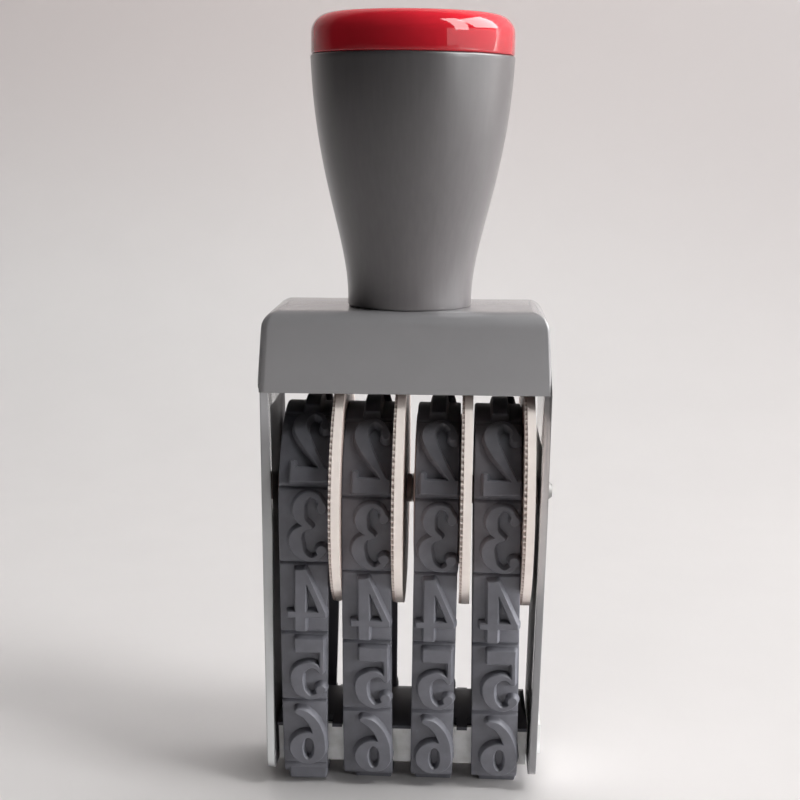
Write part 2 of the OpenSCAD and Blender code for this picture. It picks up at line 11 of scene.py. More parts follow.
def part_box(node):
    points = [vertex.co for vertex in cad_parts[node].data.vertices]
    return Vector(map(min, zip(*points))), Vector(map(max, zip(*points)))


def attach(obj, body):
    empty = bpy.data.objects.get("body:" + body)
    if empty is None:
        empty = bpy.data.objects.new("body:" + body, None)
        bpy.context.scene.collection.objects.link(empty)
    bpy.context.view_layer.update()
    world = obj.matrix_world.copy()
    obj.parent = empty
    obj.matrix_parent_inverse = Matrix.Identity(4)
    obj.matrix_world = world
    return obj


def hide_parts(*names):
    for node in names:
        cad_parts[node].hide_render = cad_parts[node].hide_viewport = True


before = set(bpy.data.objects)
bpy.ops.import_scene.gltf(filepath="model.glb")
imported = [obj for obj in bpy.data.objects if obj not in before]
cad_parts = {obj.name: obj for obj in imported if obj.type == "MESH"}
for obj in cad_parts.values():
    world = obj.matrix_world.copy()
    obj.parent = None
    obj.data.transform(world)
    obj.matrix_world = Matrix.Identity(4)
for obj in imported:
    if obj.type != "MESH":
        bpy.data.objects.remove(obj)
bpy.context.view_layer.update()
scene = bpy.context.scene
MM = 0.001
ROOT = "stamp_frame"
BAND_COUNT = 4


def span(node):
    """Lowest and highest corner of a CAD node, in millimetres."""
    low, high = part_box(node)
    return low / MM, high / MM


# node helpers

def link_math(nt, operation, a, b=0.0):
    """Math node whose inputs are sockets or numbers."""
    node = nt.nodes.new("ShaderNodeMath")
    node.operation = operation
    for socket, value in zip(node.inputs, (a, b)):
        if isinstance(value, (int, float)):
            socket.default_value = value
        else:
            nt.links.new(value, socket)
    return node.outputs["Value"]


def map_range(nt, value, start, stop, low=0.0, high=1.0, smooth=False):
    """Ramp from low to high while a value runs from start to stop."""
    node = nt.nodes.new("ShaderNodeMapRange")
    if smooth:
        node.interpolation_type = "SMOOTHSTEP"
    for key, number in zip(("From Min", "From Max", "To Min", "To Max"), (start, stop, low, high)):
        node.inputs[key].default_value = number
    nt.links.new(value, node.inputs["Value"])
    return node.outputs["Result"]


def split_xyz(nt, vector):
    """X, Y and Z of a vector socket."""
    node = nt.nodes.new("ShaderNodeSeparateXYZ")
    nt.links.new(vector, node.inputs["Vector"])
    return [node.outputs[axis] for axis in "XYZ"]


def mix_tone(nt, factor, source, tone, blend="MIX"):
    """Mixes a tone, a socket or a colour, into a source colour by a factor."""
    node = nt.nodes.new("ShaderNodeMix")
    node.data_type = "RGBA"
    node.blend_type = blend
    nt.links.new(source, node.inputs["A"])
    for key, value in (("Factor", factor), ("B", tone)):
        if isinstance(value, bpy.types.NodeSocket):
            nt.links.new(value, node.inputs[key])
        else:
            node.inputs[key].default_value = (*value, 1) if key == "B" else value
    return node.outputs["Result"]


# materials

# stretch of the noise's values over which colour and roughness change
NOISE_RANGE = (0.3, 0.7)
BUMP_DEPTH = 0.2
SHADER_SAMPLES = 8


def noise_of(nt, coord, scale, detail, stretch=1.0):
    """Noise in object space, drawn out along Z where stretch is above 1."""
    mapping = nt.nodes.new("ShaderNodeMapping")
    mapping.inputs["Scale"].default_value = (1.0, 1.0, 1.0 / stretch)
    nt.links.new(coord.outputs["Object"], mapping.inputs["Vector"])
    noise = nt.nodes.new("ShaderNodeTexNoise")
    noise.inputs["Scale"].default_value = scale
    noise.inputs["Detail"].default_value = detail
    nt.links.new(mapping.outputs["Vector"], noise.inputs["Vector"])
    return noise


def make_material(name, color, rough, spread=0.04, grain=600.0, stretch=1.0, rough_spread=0.03, bump=0.0,
                  bump_grain=2500.0, metallic=0.0, specular=0.5, coat=0.0, coat_rough=0.1):
    """Principled material whose colour, roughness and surface vary with noise in object space."""
    m = bpy.data.materials.new(name)
    m.use_nodes = True
    nt = m.node_tree
    bsdf = nt.nodes["Principled BSDF"]
    coord = nt.nodes.new("ShaderNodeTexCoord")
    noise = noise_of(nt, coord, grain, 4.0, stretch)
    ramp = nt.nodes.new("ShaderNodeValToRGB")
    for element, position, share in zip(ramp.color_ramp.elements, NOISE_RANGE, (1 - spread, 1 + spread)):
        element.position = position
        element.color = (*[min(1.0, c * share) for c in color], 1)
    nt.links.new(noise.outputs["Fac"], ramp.inputs["Fac"])
    nt.links.new(ramp.outputs["Color"], bsdf.inputs["Base Color"])
    vary = map_range(nt, noise.outputs["Fac"], *NOISE_RANGE, max(0.02, rough - rough_spread),
                     min(1.0, rough + rough_spread))
    nt.links.new(vary, bsdf.inputs["Roughness"])
    bsdf.inputs["Metallic"].default_value = metallic
    bsdf.inputs["Specular IOR Level"].default_value = specular
    bsdf.inputs["Coat Weight"].default_value = coat
    bsdf.inputs["Coat Roughness"].default_value = coat_rough
    if bump:
        push = nt.nodes.new("ShaderNodeBump")
        push.inputs["Strength"].default_value = bump
        push.inputs["Distance"].default_value = BUMP_DEPTH * MM
        nt.links.new(noise_of(nt, coord, bump_grain, 3.0, stretch).outputs["Fac"], push.inputs["Height"])
        nt.links.new(push.outputs["Normal"], bsdf.inputs["Normal"])
    return m


paint = make_material("grey_paint", (0.262, 0.258, 0.265), 0.5, spread=0.015, grain=300, rough_spread=0.02,
                      specular=0.35, coat=1.0, coat_rough=0.12)
grip = make_material("grey_plastic", (0.061, 0.0565, 0.0585), 0.34, spread=0.08, grain=1500, stretch=12,
                     bump=0.03, bump_grain=3000, coat=0.8, coat_rough=0.3)
red = make_material("red_plastic", (0.38, 0.0125, 0.021), 0.04, spread=0.04, grain=400, rough_spread=0.02)
cream = make_material("cream_plastic", (0.98, 0.885, 0.825), 0.45, spread=0.03, bump=0.03)
rubber = make_material("dark_rubber", (0.135, 0.136, 0.155), 0.5, spread=0.12, grain=450, rough_spread=0.06,
                       bump=0.12, bump_grain=1800, specular=0.45)
metal = make_material("bare_metal", (0.99, 0.99, 0.96), 0.5, spread=0.22, grain=420, bump=0.15, bump_grain=1200)
black = make_material("black_plastic", (0.042, 0.042, 0.052), 0.5, spread=0.15, grain=500, bump=0.04, specular=0.3)
steel = make_material("plated_steel", (0.2, 0.195, 0.19), 0.5, spread=0.12, grain=500, bump=0.1,
                      bump_grain=1800, metallic=0.4)


def repaint(material, change):
    """Passes the base colour through change(node tree, colour socket)."""
    nt = material.node_tree
    color = nt.nodes["Principled BSDF"].inputs["Base Color"]
    nt.links.new(change(nt, color.links[0].from_socket), color)


def painted_light_along_z(material, stops):
    """Scales the base colour by straight lines through (height in millimetres, share) pairs, to paint light and
    shade by height.
    """
    low, high = stops[0][0], stops[-1][0]

    def change(nt, color):
        _, _, z = split_xyz(nt, nt.nodes.new("ShaderNodeTexCoord").outputs["Object"])
        ramp = nt.nodes.new("ShaderNodeValToRGB")
        nt.links.new(map_range(nt, z, low * MM, high * MM), ramp.inputs["Fac"])
        elements = ramp.color_ramp.elements
        while len(elements) < len(stops):
            elements.new(0.5)
        top = max(share for _, share in stops)
        for element, (height, share) in zip(elements, stops):
            element.position = (height - low) / (high - low)
            element.color = (share / top, share / top, share / top, 1)
        raised = mix_tone(nt, 1.0, color, (top, top, top), "MULTIPLY")
        return mix_tone(nt, 1.0, raised, ramp.outputs["Color"], "MULTIPLY")

    repaint(material, change)


def painted_nook_shade(material, tone, distance, shares):
    """Multiplies the base colour by a tone where other surfaces close in: painted shade in nooks, such as the flange
    tops under the hood.

    The tone is full where the first share of the surroundings is open, and gone where the second is."""

    def change(nt, color):
        nook = nt.nodes.new("ShaderNodeAmbientOcclusion")
        nook.samples = SHADER_SAMPLES
        nook.inputs["Distance"].default_value = distance * MM
        return mix_tone(nt, map_range(nt, nook.outputs["AO"], *shares, 1.0, 0.0), color, tone, "MULTIPLY")

    repaint(material, change)


def paint_leg_highlight_and_shade(material, edge_radius=0.3, edge=(0.7, 0.71, 0.71), edge_facing=(0.7, 0.97), highlight_between=(54.0, 40.0),
              dark=(0.12, 0.115, 0.12), dark_facing=0.6, dark_tops=(58.6, 53.8), dark_from=-8.5):
    """Rounds the frame's edges, paints a highlight on the left leg's front edge that grows paler downwards, and
    paints shade on both legs' inner faces.

    Sizes in millimetres, the left leg's height before the right one's. Facings are shares of a normal."""

    def change(nt, color):
        bsdf = nt.nodes["Principled BSDF"]
        surface = nt.nodes.new("ShaderNodeNewGeometry")
        soft = nt.nodes.new("ShaderNodeBevel")
        soft.samples = SHADER_SAMPLES
        soft.inputs["Radius"].default_value = edge_radius * MM
        for key in ("Normal", "Coat Normal"):
            nt.links.new(soft.outputs["Normal"], bsdf.inputs[key])
        x, y, z = split_xyz(nt, surface.outputs["Position"])
        flat_x, _, _ = split_xyz(nt, surface.outputs["True Normal"])
        _, rounded_y, _ = split_xyz(nt, soft.outputs["Normal"])

        # painted highlight: the left leg's front edge paler where its rounded normal faces front, and more so lower
        # down
        edge_highlight = link_math(nt, "LESS_THAN", x, 0.0)
        for share in (map_range(nt, link_math(nt, "ABSOLUTE", rounded_y), *edge_facing),
                      map_range(nt, z, *(height * MM for height in highlight_between))):
            edge_highlight = link_math(nt, "MULTIPLY", share, edge_highlight)

        # painted shade: both legs dark on their inner faces, behind the front edge and below the hood
        inner_shade = 0.0
        for side, top in zip((-1, 1), dark_tops):
            mask = link_math(nt, "GREATER_THAN", y, dark_from * MM)
            for test in (link_math(nt, "GREATER_THAN", link_math(nt, "MULTIPLY", x, side), 0.0),
                         link_math(nt, "GREATER_THAN", link_math(nt, "MULTIPLY", flat_x, -side), dark_facing),
                         link_math(nt, "LESS_THAN", z, top * MM)):
                mask = link_math(nt, "MULTIPLY", test, mask)
            inner_shade = link_math(nt, "ADD", mask, inner_shade)
        # no coat where the shade is painted, so the dark inner faces show no reflection
        nt.links.new(link_math(nt, "LESS_THAN", inner_shade, 0.5), bsdf.inputs["Coat Weight"])
        return mix_tone(nt, inner_shade, mix_tone(nt, edge_highlight, color, edge), dark)

    repaint(material, change)


# frame paint with a painted highlight on the left leg's front edge and painted shade inside both legs
paint_leg_highlight_and_shade(paint)
# painted shade on the wheels and spacers where the hood and bands close in
painted_nook_shade(cream, (0.5, 0.41, 0.39), distance=12, shares=(0.3, 0.75))
# painted light: the grip paler towards its foot
painted_light_along_z(grip, [(74, 1.6), (88, 1.25), (104, 0.97), (113, 0.88)])
# painted highlight: the cap paler towards its dome, as if lit from above
painted_light_along_z(red, [(110, 0.78), (113.5, 1.05), (115.5, 1.75), (117.2, 2.6)])
# painted shade and light: the bands darker towards their tops under the hood, paler towards the floor
painted_light_along_z(rubber, [(0, 1.25), (22, 1.12), (44, 0.98), (54, 0.78), (63, 0.55)])


# meshes

def new_object(name, verts, faces, material, nodes, body=ROOT):
    """Smooth mesh that stands for CAD nodes and rides on their body."""
    mesh = bpy.data.meshes.new(name)
    mesh.from_pydata([tuple(v) for v in verts], [], faces)
    mesh.validate()
    mesh.materials.append(material)
    mesh.polygons.foreach_set("use_smooth", [True] * len(mesh.polygons))
    obj = bpy.data.objects.new(name, mesh)
    scene.collection.objects.link(obj)
    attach(obj, body)
    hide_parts(*nodes)
    return obj


def sharpen(obj, degrees):
    """Keeps edges sharper than the angle in smooth shading."""
    bm = bmesh.new()
    bm.from_mesh(obj.data)
    bmesh.ops.recalc_face_normals(bm, faces=bm.faces)
    limit = math.radians(degrees)
    for e in bm.edges:
        e.smooth = len(e.link_faces) == 2 and e.calc_face_angle(math.pi) < limit
    bm.to_mesh(obj.data)
    bm.free()


# sharpest angles in degrees that shade smooth
LATHE_CREASE = 40
BAND_CREASE = 32


def lathe(name, profile, material, node, steps=160):
    """Closed profile of (radius, height) in millimetres turned about the Z axis."""
    verts, faces = [], []
    n = len(profile)
    for i in range(steps):
        a = 2 * math.pi * i / steps
        verts += [(r * math.cos(a) * MM, r * math.sin(a) * MM, z * MM) for r, z in profile]
    for i in range(steps):
        j = (i + 1) % steps
        for k in range(n):
            m = (k + 1) % n
            faces.append((i * n + k, j * n + k, j * n + m, i * n + m))
    obj = new_object(name, verts, faces, material, (node,))
    sharpen(obj, LATHE_CREASE)
    return obj


def arc(cx, cy, r, start, end, steps):
    """Points on a circular arc between two angles in degrees."""
    angles = np.radians(np.linspace(start, end, steps + 1))
    return [(cx + r * math.cos(a), cy + r * math.sin(a)) for a in angles]


def geometry_group(name):
    """Empty geometry node group with its input and output nodes."""
    group = bpy.data.node_groups.new(name, "GeometryNodeTree")
    for way in ("INPUT", "OUTPUT"):
        group.interface.new_socket("Geometry", in_out=way, socket_type="NodeSocketGeometry")
    return group, group.nodes.new("NodeGroupInput"), group.nodes.new("NodeGroupOutput")


def smooth_group(degrees):
    """Shades smooth all but the edges sharper than the angle."""
    group, start, end = geometry_group("smooth_under_%d" % degrees)
    angle = group.nodes.new("GeometryNodeInputMeshEdgeAngle")
    below = group.nodes.new("FunctionNodeCompare")
    below.operation = "LESS_THAN"
    below.inputs["B"].default_value = math.radians(degrees)
    faces = group.nodes.new("GeometryNodeSetShadeSmooth")
    edges = group.nodes.new("GeometryNodeSetShadeSmooth")
    edges.domain = "EDGE"
    group.links.new(angle.outputs["Unsigned Angle"], below.inputs["A"])
    group.links.new(start.outputs["Geometry"], faces.inputs["Geometry"])
    group.links.new(faces.outputs["Geometry"], edges.inputs["Geometry"])
    group.links.new(below.outputs["Result"], edges.inputs["Shade Smooth"])
    group.links.new(edges.outputs["Geometry"], end.inputs["Geometry"])
    return group


smooth_under_30 = smooth_group(30)
# in degrees and metres
BEVEL_ANGLE = 35
WELD_DISTANCE = 1e-6


def dress(node, material, bevel=0.0, bend=None):
    """Material, softened edges and smooth shading for a piece that keeps its CAD solid."""
    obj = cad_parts[node]
    obj.data.materials.clear()
    obj.data.materials.append(material)
    weld = obj.modifiers.new("weld", "WELD")
    weld.merge_threshold = WELD_DISTANCE
    for name, group in (("bend", bend), ("smooth", smooth_under_30)):
        if group:
            obj.modifiers.new(name, "NODES").node_group = group
    if bevel:
        soft = obj.modifiers.new("soft_edges", "BEVEL")
        soft.width = bevel * MM
        soft.segments = 2
        soft.limit_method = "ANGLE"
        soft.angle_limit = math.radians(BEVEL_ANGLE)
        soft.harden_normals = True


# loop of a band, in millimetres: round the drum, down to a fold, along a cheek and round an edge of the platen

BAND_GAP = 0.2
BASE = 1.6
RELIEF = 1.1
PLATEN_FOOT = 5.3
PLATEN_EDGE = 0.6
CHEEK_LEAN = math.radians(12)
CHEEK_RUN = 10.0
BANDS = [span("number_band_%d" % (i + 1)) for i in range(BAND_COUNT)]
AXLE_Z = sum(corner.z for corner in span("axle")) / 2
TOP_R = BANDS[0][1].z - AXLE_Z - BASE - RELIEF
EDGE_R = PLATEN_EDGE + BAND_GAP
EDGE_Z = span("platen_bar")[0].z + PLATEN_EDGE
EDGE_END = PLATEN_FOOT + EDGE_R * (math.pi / 2 - CHEEK_LEAN)
FOLD_S = EDGE_END + CHEEK_RUN
FOLD_Y = PLATEN_FOOT + EDGE_R * math.cos(CHEEK_LEAN) + CHEEK_RUN * math.sin(CHEEK_LEAN)
FOLD_Z = EDGE_Z - EDGE_R * math.sin(CHEEK_LEAN) + CHEEK_RUN * math.cos(CHEEK_LEAN)
FOLD_SPAN = math.hypot(FOLD_Y, AXLE_Z - FOLD_Z)
TILT = math.atan(FOLD_Y / (AXLE_Z - FOLD_Z)) - math.asin(TOP_R / FOLD_SPAN)
RUN_END = FOLD_S + math.sqrt(FOLD_SPAN ** 2 - TOP_R ** 2)
HALF_LOOP = RUN_END + TOP_R * (math.pi / 2 - TILT)
FIGURES = [7, 6, 5, 4, 3, 2, 1, None, None, 0, 9, 8]
PITCH = 2 * HALF_LOOP / len(FIGURES)
CHEEK_BLOCKS = (1, len(FIGURES) - 1)
# how far each band has been drawn round its loop in the photograph
BAND_SHIFT = [0.9, -0.3, -0.3, -0.3]
# how far its (left, right) sides lie off the CAD's there, at the platen and from the axle upwards
DRIFT_LOW = [(-0.25, -0.55), (0.0, 0.4), (-0.25, -0.3), (0.5, 0.55)]
DRIFT_HIGH = [(-0.45, 0.0), (-0.2, 0.0), (0.0, 0.0), (0.0, 0.0)]


def run_point(s, a, off):
    """Straight stretch through the fold at distance s past it, with its outward normal at angle a."""
    return FOLD_Y + off * math.cos(a) - s * math.sin(a), FOLD_Z + off * math.sin(a) + s * math.cos(a)


def loop_point(s, off, block=None):
    """(y, z) on a band at a distance along its inner face, off millimetres outside that face.

    A figure whose block is centred on the cheek stays flat past the cheek's ends."""
    s = s % (2 * HALF_LOOP)
    side = -1.0
    if s > HALF_LOOP:
        s, side = 2 * HALF_LOOP - s, 1.0
    if block in CHEEK_BLOCKS:
        y, z = run_point(s - FOLD_S, -CHEEK_LEAN, off)
    elif s < PLATEN_FOOT:
        y, z = s, EDGE_Z - EDGE_R - off
    elif s < EDGE_END:
        a = -math.pi / 2 + (s - PLATEN_FOOT) / EDGE_R
        y, z = PLATEN_FOOT + (EDGE_R + off) * math.cos(a), EDGE_Z + (EDGE_R + off) * math.sin(a)
    elif s < FOLD_S:
        y, z = run_point(s - FOLD_S, -CHEEK_LEAN, off)
    elif s < RUN_END:
        y, z = run_point(s - FOLD_S, TILT, off)
    else:
        a = TILT + (s - RUN_END) / TOP_R
        y, z = (TOP_R + off) * math.cos(a), AXLE_Z + (TOP_R + off) * math.sin(a)
    return side * y, z


# figures: strokes of changing width, bars, dots and ovals joined into one signed distance field

FIGURE_HEIGHT = 10.0
FIELD_STEP = 0.07
GX, GY = np.meshgrid(np.arange(-0.7, 6.9, FIELD_STEP), np.arange(-0.7, FIGURE_HEIGHT + 0.9, FIELD_STEP))


def smooth_path(points, per=10):
    """Smooth curve through points of (x, y, width)."""
    p = np.array(points, float)
    if len(p) < 3:
        return p
    ext = np.vstack([2 * p[0] - p[1], p, 2 * p[-1] - p[-2]])
    out = []
    for i in range(1, len(ext) - 2):
        p0, p1, p2, p3 = ext[i - 1:i + 3]
        for t in np.linspace(0, 1, per, endpoint=False):
            out.append(0.5 * (2 * p1 + (p2 - p0) * t + (2 * p0 - 5 * p1 + 4 * p2 - p3) * t ** 2
                              + (3 * p1 - p0 - 3 * p2 + p3) * t ** 3))
    out.append(ext[-2])
    return np.array(out)


def curve(*points):
    """Distance to a stroke through points of (x, y, width)."""
    path = smooth_path(points)
    d = np.full(GX.shape, 1e9)
    for (x0, y0, w0), (x1, y1, w1) in zip(path[:-1], path[1:]):
        dx, dy = x1 - x0, y1 - y0
        t = np.clip(((GX - x0) * dx + (GY - y0) * dy) / (dx * dx + dy * dy + 1e-12), 0, 1)
        d = np.minimum(d, np.hypot(GX - x0 - t * dx, GY - y0 - t * dy) - (w0 + (w1 - w0) * t) / 2)
    return d


def bar(x0, y0, x1, y1):
    """Distance to an upright rectangle between two corners."""
    ax = np.abs(GX - (x0 + x1) / 2) - (x1 - x0) / 2
    ay = np.abs(GY - (y0 + y1) / 2) - (y1 - y0) / 2
    return np.hypot(np.maximum(ax, 0), np.maximum(ay, 0)) + np.minimum(np.maximum(ax, ay), 0)


def dot(x, y, r):
    """Distance to a disc."""
    return np.hypot(GX - x, GY - y) - r


def oval(cx, cy, rx, ry):
    """Distance to an ellipse, near enough close to its outline."""
    k = np.hypot((GX - cx) / rx, (GY - cy) / ry)
    g = np.hypot((GX - cx) / rx ** 2, (GY - cy) / ry ** 2) + 1e-9
    return k * (k - 1) / g


def join(*fields):
    """Union of shapes."""
    return np.minimum.reduce(fields)


def cut(field, hole):
    """Shape without a hole."""
    return np.maximum(field, -hole)


def figure_field(n):
    """Signed distance to a figure about 5.6 wide and 10 high, negative inside."""
    if n == 0:
        return cut(oval(2.8, 5, 2.8, 5), oval(2.8, 5, 1.05, 4.3))
    if n == 1:
        return join(bar(2.0, 0, 4.3, 10), curve((1.35, 7.3, 0.9), (2.6, 9.4, 1.2)))
    if n == 2:
        return join(curve((0.85, 7.3, 1.2), (1.25, 8.75, 0.8), (2.7, 9.6, 0.7), (4.2, 8.6, 1.6), (4.55, 7.2, 2.0),
                          (3.75, 5.4, 1.7), (2.3, 3.4, 1.05), (0.9, 1.6, 0.7)),
                    dot(0.85, 7.35, 0.72), bar(0.1, 0, 5.6, 1.7), bar(4.95, 0, 5.6, 2.6))
    if n == 3:
        return join(curve((0.8, 8.2, 0.9), (1.4, 9.35, 0.6), (2.6, 9.7, 0.6), (3.9, 8.9, 1.4), (4.25, 7.65, 1.85),
                          (3.75, 6.3, 1.2), (2.4, 5.35, 0.5)),
                    curve((2.4, 5.35, 0.5), (3.9, 4.95, 1.1), (4.65, 3.9, 1.8), (4.6, 2.5, 2.0), (3.9, 1.1, 1.3),
                          (2.5, 0.33, 0.65), (1.25, 0.75, 0.8), (0.65, 1.6, 1.0)),
                    dot(0.85, 8.05, 0.72), dot(0.85, 1.75, 0.8))
    if n == 4:
        return join(bar(3.1, 0, 4.75, 9.9), bar(0.1, 2.2, 5.9, 3.15), curve((3.45, 9.55, 0.9), (0.55, 2.75, 0.95)))
    if n == 5:
        return join(bar(1.0, 7.75, 4.75, 9.95), bar(0.4, 4.35, 1.02, 9.95),
                    curve((0.75, 4.45, 0.5), (1.6, 5.45, 0.7), (2.9, 5.55, 1.1), (4.2, 4.6, 1.75), (4.45, 3.1, 1.9),
                          (3.95, 1.4, 1.5), (2.6, 0.38, 0.75), (1.3, 0.7, 0.8), (0.7, 1.5, 1.0)),
                    dot(0.8, 1.65, 0.78))
    if n == 6:
        bowl = cut(oval(2.8, 2.85, 2.8, 2.85), oval(2.7, 2.8, 0.85, 1.9))
        return join(bowl, curve((0.95, 3.0, 1.75), (1.05, 5.0, 1.7), (1.75, 7.1, 1.6), (3.0, 8.75, 1.4),
                                (4.25, 9.35, 1.0)))
    if n == 7:
        return join(bar(0.2, 8.1, 5.6, 9.95), bar(0.2, 7.2, 0.85, 9.95),
                    curve((5.05, 8.6, 0.8), (3.5, 5.6, 1.2), (2.5, 2.6, 1.8), (2.3, 0.95, 1.9)))
    if n == 8:
        return join(cut(oval(2.8, 2.7, 2.8, 2.7), oval(2.8, 2.6, 1.15, 1.75)),
                    cut(oval(2.8, 7.4, 2.45, 2.55), oval(2.8, 7.55, 1.0, 1.65)))
    return figure_field(6)[::-1, ::-1]


def crossings(inside):
    """Grid edges that an outline crosses, each with the next one along it."""
    following = {}
    rows, cols = inside.shape
    for i in range(rows - 1):
        pair = inside[i:i + 2]
        mixed = pair.any(0) & ~pair.all(0)
        change = mixed[:-1] | mixed[1:] | (pair[0, :-1] != pair[0, 1:])
        for j in np.nonzero(change)[0]:
            corners = [(i, j), (i, j + 1), (i + 1, j + 1), (i + 1, j)]
            leaves, enters = [], []
            for p, q in zip(corners, corners[1:] + corners[:1]):
                if inside[p] != inside[q]:
                    (leaves if inside[p] else enters).append((min(p, q), max(p, q)))
            following.update(zip(leaves, enters))
    return following


def trace(field):
    """Closed outlines where the field is zero, as arrays of points."""
    following = crossings(field < 0)
    loops = []
    while following:
        edge = next(iter(following))
        points = []
        while edge in following:
            (i0, j0), (i1, j1) = edge
            t = field[i0, j0] / (field[i0, j0] - field[i1, j1])
            points.append((GX[0, 0] + FIELD_STEP * (j0 + (j1 - j0) * t),
                           GY[0, 0] + FIELD_STEP * (i0 + (i1 - i0) * t)))
            edge = following.pop(edge)
        if len(points) >= 8:
            points = np.array(points)
            for _ in range(2):
                points = (np.roll(points, 1, 0) + 2 * points + np.roll(points, -1, 0)) / 4
            loops.append(thin_out(points))
    return loops


def thin_out(points, tolerance=0.012, reach=9):
    """Drops points that lie on the line between their neighbours."""
    keep = [0]
    last = len(points) - 1
    while keep[-1] < last:
        i = keep[-1]
        j = min(i + reach, last)
        while j > i + 1:
            chord = points[j] - points[i]
            between = points[i + 1:j] - points[i]
            away = np.abs(chord[0] * between[:, 1] - chord[1] * between[:, 0]) / (np.hypot(*chord) + 1e-9)
            if away.max() < tolerance:
                break
            j -= 1
        keep.append(j)
    closes = np.hypot(*(points[last] - points[0])) < FIELD_STEP / 2
    return points[keep[:-1]] if closes else points[keep]


def outward(points, field):
    """Unit normals of an outline, pointing out of the figure."""
    along = np.roll(points, -1, 0) - np.roll(points, 1, 0)
    along /= np.hypot(along[:, 0], along[:, 1])[:, None] + 1e-9
    normal = np.stack([along[:, 1], -along[:, 0]], 1)
    probe = points + normal * 0.1
    col = np.clip(((probe[:, 0] - GX[0, 0]) / FIELD_STEP).round().astype(int), 0, field.shape[1] - 1)
    row = np.clip(((probe[:, 1] - GY[0, 0]) / FIELD_STEP).round().astype(int), 0, field.shape[0] - 1)
    return normal if field[row, col].mean() > 0 else -normal


# rings of a raised figure from its foot to its face: how far each lies outside the outline, and its height
FLANK = ((0.34, -0.12), (0.05, RELIEF - 0.16), (-0.1, RELIEF))


def figure_solid(n):
    """Vertices (u, v, height) and faces of one raised figure with tapered flanks."""
    field = figure_field(n)
    verts, faces, tops = [], [], []
    for points in trace(field):
        normal = outward(points, field)
        start, m = len(verts), len(points)
        for shift, height in FLANK:
            verts += [(*(p + q * shift), height) for p, q in zip(points, normal)]
        for ring in range(len(FLANK) - 1):
            for k in range(m):
                a, b = start + ring * m + k, start + ring * m + (k + 1) % m
                faces.append((a, b, b + m, a + m))
        tops.append([start + (len(FLANK) - 1) * m + k for k in range(m)])
    flat = [[Vector((verts[i][0], verts[i][1], 0)) for i in t] for t in tops]
    index = [i for t in tops for i in t]
    faces += [tuple(index[i] for i in tri) for tri in tessellate_polygon(flat)]
    return verts, faces


def cut_across(verts, faces, spacing=0.45):
    """Cuts a solid into strips along v so that it can bend."""
    bm = bmesh.new()
    made = [bm.verts.new(v) for v in verts]
    for f in faces:
        if len(set(f)) == len(f) and not bm.faces.get([made[i] for i in f]):
            bm.faces.new([made[i] for i in f])
    for v in np.arange(spacing, FIGURE_HEIGHT + 0.2, spacing):
        bmesh.ops.bisect_plane(bm, geom=bm.verts[:] + bm.edges[:] + bm.faces[:], plane_co=(0, v, 0),
                               plane_no=(0, 1, 0), dist=1e-5)
    bm.verts.index_update()
    out = [tuple(v.co) for v in bm.verts], [tuple(v.index for v in f.verts) for f in bm.faces]
    bm.free()
    return out


# bands

SCORE_DEPTH = 0.42
SCORE_HALF_WIDTH = 0.2
BAND_EDGE = 0.3
FIGURE_MARGIN = 0.1
# the base starts this far off its inner face, and a bevelled corner is pushed out to this share of its edge
BASE_START = 0.05
EDGE_BULGE = 0.3


def band_stations(shift):
    """Distances along the loop at which a band gets a cross-section."""
    stops = set(np.round(np.linspace(0, 2 * HALF_LOOP, 300, endpoint=False), 4))
    for k in range(len(FIGURES)):
        stops.update(np.round((k + 0.5) * PITCH + shift + np.linspace(-2, 2, 7) * SCORE_HALF_WIDTH, 4))
    for t in (*np.linspace(PLATEN_FOOT, EDGE_END, 14), FOLD_S - 0.25, FOLD_S + 0.25, RUN_END):
        stops.update((round(t, 4), round(2 * HALF_LOOP - t, 4)))
    return sorted(stops)


def band_sides(i, z):
    """Left and right side of a band at a height."""
    t = min(max((z - EDGE_Z) / (AXLE_Z - EDGE_Z), 0), 1)
    return [BANDS[i][k].x + DRIFT_LOW[i][k] * (1 - t) + DRIFT_HIGH[i][k] * t for k in (0, 1)]


def band_base(i):
    """Vertices and faces of the scored loop behind the figures."""
    verts, faces = [], []
    shift = BAND_SHIFT[i]
    stops = band_stations(shift)
    edge, bulge = BAND_EDGE, BAND_EDGE * EDGE_BULGE
    for s in stops:
        gap = ((s - shift) / PITCH - 0.5) % 1.0
        gap = min(gap, 1 - gap) * PITCH
        top = BASE - SCORE_DEPTH * math.exp(-(gap / SCORE_HALF_WIDTH) ** 2)
        left, right = band_sides(i, loop_point(s, 0.0)[1])
        section = [(left, BASE_START), (left, top - edge), (left + bulge, top - bulge), (left + edge, top),
                   (right - edge, top), (right - bulge, top - bulge), (right, top - edge), (right, BASE_START)]
        for x, off in section:
            y, z = loop_point(s, off)
            verts.append((x * MM, y * MM, z * MM))
    m = len(section)
    for a in range(len(stops)):
        b = (a + 1) % len(stops)
        for k in range(m):
            c = (k + 1) % m
            faces.append((a * m + k, b * m + k, b * m + c, a * m + c))
    return verts, faces


def band(i, solids):
    """One rubber band: scored base loop with its raised, reversed figures."""
    verts, faces = band_base(i)
    for k, n in enumerate(FIGURES):
        if n is None:
            continue
        start = len(verts)
        figure_verts, figure_faces = solids[n]
        foot = k * PITCH + BAND_SHIFT[i] - FIGURE_HEIGHT / 2
        for u, v, height in figure_verts:
            y, z = loop_point(foot + v, BASE + height, k)
            verts.append(((band_sides(i, z)[1] - FIGURE_MARGIN - u) * MM, y * MM, z * MM))
        faces += [tuple(start + q for q in f) for f in figure_faces]
    node = "number_band_%d" % (i + 1)
    sharpen(new_object(node + "_moulded", verts, faces, rubber, (node,)), BAND_CREASE)


solids = {n: cut_across(*figure_solid(n)) for n in range(10)}
for i in range(BAND_COUNT):
    band(i, solids)


# handle and cap

